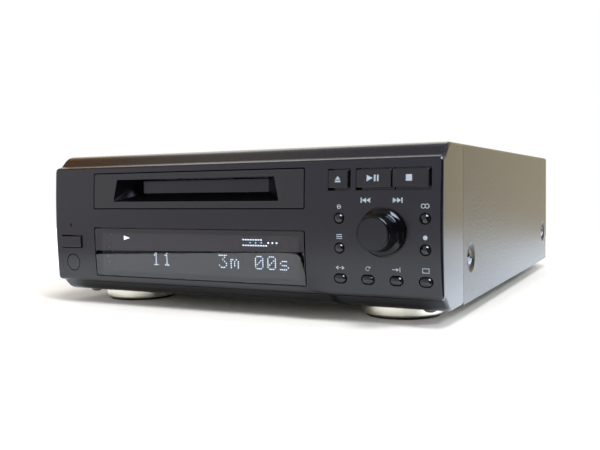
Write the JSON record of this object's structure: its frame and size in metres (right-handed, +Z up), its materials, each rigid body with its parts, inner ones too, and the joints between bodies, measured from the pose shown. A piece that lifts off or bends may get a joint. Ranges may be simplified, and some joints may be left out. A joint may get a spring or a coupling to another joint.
{
  "type": "disc recorder",
  "caption": "Half-width disc cartridge recorder: steel case on round feet, bowed moulded front with slot, display, keys and jog knob, loading deck inside.",
  "frame": {"origin": "middle of the overall footprint, on the surface that the feet stand on", "axes": "+X to the right seen from the front, +Y from front to rear along the depth, +Z up"},
  "size_m": [0.2108, 0.2794, 0.077],
  "materials": {
    "dark_steel": "fine satin paint",
    "plated_steel": "bare zinc plating",
    "grey_moulding": "fine texture, dark grey",
    "slot_moulding": "smooth, dark grey",
    "smoked_window": "clear smoked, polished",
    "key_plastic": "smooth satin",
    "knob_plastic": "polished side, satin face",
    "foot_metal": "turned, champagne",
    "rubber": "matt",
    "black_screw": "black oxide",
    "bright_screw": "yellow zinc",
    "board": "green solder mask",
    "power_laminate": "brown laminate",
    "display_glass": "fluorescent tube glass",
    "switch_black": "moulded",
    "lamp_red": "tinted",
    "socket_plastic": "moulded",
    "socket_metal": "nickel over brass",
    "transformer_iron": "varnished laminations",
    "cable_grey": "flat film cable",
    "bright_steel": "ground",
    "white_acetal": "acetal",
    "cream_acetal": "acetal",
    "brass": "cut brass",
    "motor_can": "plated can",
    "pickup_body": "die cast"
  },
  "bodies": {
    "housing": {"top_cover": "dark_steel", "bottom_chassis": "plated_steel", "rear_panel": "dark_steel", "front_bezel": "grey_moulding", "slot_panel": "slot_moulding", "display_window": "smoked_window", "sensor_window": "smoked_window", "rotary_encoder": "plated_steel", "flap_spring": "bright_steel", "foot_front_left": "foot_metal", "foot_front_right": "foot_metal", "foot_rear_left": "foot_metal", "foot_rear_right": "foot_metal", "foot_pads": "rubber", "cover_screws": "black_screw", "case_screws": "black_screw", "inner_screws": "bright_screw", "front_board": "board", "display_tube": "display_glass", "tact_switches": "switch_black", "standby_lamp": "lamp_red", "main_board": "board", "rear_sockets": "socket_metal", "mains_inlet": "socket_plastic", "power_board": "power_laminate", "power_parts": "socket_plastic", "power_transformer": "transformer_iron", "flat_cable": "cable_grey", "deck_chassis": "plated_steel", "deck_stand": "plated_steel", "deck_dampers": "rubber", "loading_motor": "motor_can", "spindle_motor": "motor_can", "guide_rods": "bright_steel", "sled_motor": "motor_can"},
    "power_button": {"power_button": "key_plastic"},
    "eject_button": {"eject_button": "key_plastic"},
    "play_button": {"play_button": "key_plastic"},
    "stop_button": {"stop_button": "key_plastic"},
    "edit_button": {"edit_button": "key_plastic"},
    "set_button": {"set_button": "key_plastic"},
    "sync_button": {"sync_button": "key_plastic"},
    "record_button": {"record_button": "key_plastic"},
    "scroll_button": {"scroll_button": "key_plastic"},
    "repeat_button": {"repeat_button": "key_plastic"},
    "input_button": {"input_button": "key_plastic"},
    "display_button": {"display_button": "key_plastic"},
    "jog_knob": {"jog_knob": "knob_plastic", "encoder_shaft": "plated_steel"},
    "slot_flap": {"slot_flap": "slot_moulding"},
    "loading_slide": {"loading_slide": "cream_acetal"},
    "cartridge_holder": {"cartridge_holder": "plated_steel"},
    "loading_gear": {"loading_gear": "white_acetal"},
    "loading_pinion": {"loading_pinion": "brass"},
    "turntable": {"turntable": "pickup_body"},
    "optical_pickup": {"optical_pickup": "pickup_body"},
    "sled_gear": {"sled_gear": "white_acetal"},
    "sled_pinion": {"sled_pinion": "brass"},
    "magnetic_head": {"magnetic_head": "pickup_body"}
  },
  "joints": [
    {"name": "power_press", "type": "slide", "parent": "housing", "child": "power_button", "axis": [0, 1, 0], "range_m": [0, 0.0008], "stiffness_N_per_m": 200, "springref_m": -0.0005},
    {"name": "eject_press", "type": "slide", "parent": "housing", "child": "eject_button", "axis": [0, 1, 0], "range_m": [0, 0.0008], "stiffness_N_per_m": 200, "springref_m": -0.0005},
    {"name": "play_press", "type": "slide", "parent": "housing", "child": "play_button", "axis": [0, 1, 0], "range_m": [0, 0.0008], "stiffness_N_per_m": 200, "springref_m": -0.0005},
    {"name": "stop_press", "type": "slide", "parent": "housing", "child": "stop_button", "axis": [0, 1, 0], "range_m": [0, 0.0008], "stiffness_N_per_m": 200, "springref_m": -0.0005},
    {"name": "edit_press", "type": "slide", "parent": "housing", "child": "edit_button", "axis": [0, 1, 0], "range_m": [0, 0.0008], "stiffness_N_per_m": 200, "springref_m": -0.0005},
    {"name": "set_press", "type": "slide", "parent": "housing", "child": "set_button", "axis": [0, 1, 0], "range_m": [0, 0.0008], "stiffness_N_per_m": 200, "springref_m": -0.0005},
    {"name": "sync_press", "type": "slide", "parent": "housing", "child": "sync_button", "axis": [0, 1, 0], "range_m": [0, 0.0008], "stiffness_N_per_m": 200, "springref_m": -0.0005},
    {"name": "record_press", "type": "slide", "parent": "housing", "child": "record_button", "axis": [0, 1, 0], "range_m": [0, 0.0008], "stiffness_N_per_m": 200, "springref_m": -0.0005},
    {"name": "scroll_press", "type": "slide", "parent": "housing", "child": "scroll_button", "axis": [0, 1, 0], "range_m": [0, 0.0008], "stiffness_N_per_m": 200, "springref_m": -0.0005},
    {"name": "repeat_press", "type": "slide", "parent": "housing", "child": "repeat_button", "axis": [0, 1, 0], "range_m": [0, 0.0008], "stiffness_N_per_m": 200, "springref_m": -0.0005},
    {"name": "input_press", "type": "slide", "parent": "housing", "child": "input_button", "axis": [0, 1, 0], "range_m": [0, 0.0008], "stiffness_N_per_m": 200, "springref_m": -0.0005},
    {"name": "display_press", "type": "slide", "parent": "housing", "child": "display_button", "axis": [0, 1, 0], "range_m": [0, 0.0008], "stiffness_N_per_m": 200, "springref_m": -0.0005},
    {"name": "knob_turn", "type": "hinge", "parent": "housing", "child": "jog_knob", "pos_m": [0.0794, -0.1277, 0.0398], "axis": [0, -1, 0], "continuous": true},
    {"name": "flap_swing", "type": "hinge", "parent": "housing", "child": "slot_flap", "pos_m": [-0.0175, -0.1162, 0.0631], "axis": [1, 0, 0], "range_deg": [0, 88], "stiffness_Nm_per_rad": 0.002, "springref_deg": -20.05},
    {"name": "slide_travel", "type": "slide", "parent": "housing", "child": "loading_slide", "axis": [0, 1, 0], "range_m": [0, 0.009]},
    {"name": "holder_drop", "type": "slide", "parent": "housing", "child": "cartridge_holder", "axis": [0, 0, -1], "range_m": [0, 0.0045]},
    {"name": "loading_gear_turn", "type": "hinge", "parent": "housing", "child": "loading_gear", "pos_m": [0.0107, -0.0237, 0.046], "axis": [0, 0, 1], "range_deg": [0, 108]},
    {"name": "loading_pinion_turn", "type": "hinge", "parent": "housing", "child": "loading_pinion", "pos_m": [-0.0013, -0.0237, 0.046], "axis": [0, 0, 1], "range_deg": [-410, 0]},
    {"name": "turntable_spin", "type": "hinge", "parent": "housing", "child": "turntable", "pos_m": [-0.0175, -0.0727, 0.046], "axis": [0, 0, 1], "continuous": true},
    {"name": "pickup_travel", "type": "slide", "parent": "housing", "child": "optical_pickup", "axis": [1, 0, 0], "range_m": [0, 0.017]},
    {"name": "sled_gear_turn", "type": "hinge", "parent": "housing", "child": "sled_gear", "pos_m": [0.0025, -0.0457, 0.046], "axis": [0, 0, 1], "range_deg": [0, 326]},
    {"name": "sled_pinion_turn", "type": "hinge", "parent": "housing", "child": "sled_pinion", "pos_m": [-0.00875, -0.0457, 0.046], "axis": [0, 0, 1], "range_deg": [-1300, 0]},
    {"name": "head_lift", "type": "hinge", "parent": "optical_pickup", "child": "magnetic_head", "pos_m": [0.0305, -0.0727, 0.068], "axis": [0, -1, 0], "range_deg": [0, 7]}
  ],
  "couplings": [
    {"joint": "holder_drop", "follows": "slide_travel", "ratio": 0.5},
    {"joint": "loading_gear_turn", "follows": "slide_travel", "rad_per_m": 208.33},
    {"joint": "loading_pinion_turn", "follows": "slide_travel", "rad_per_m": -791.67},
    {"joint": "sled_gear_turn", "follows": "pickup_travel", "rad_per_m": 333.33},
    {"joint": "sled_pinion_turn", "follows": "pickup_travel", "rad_per_m": -1333.3}
  ]
}
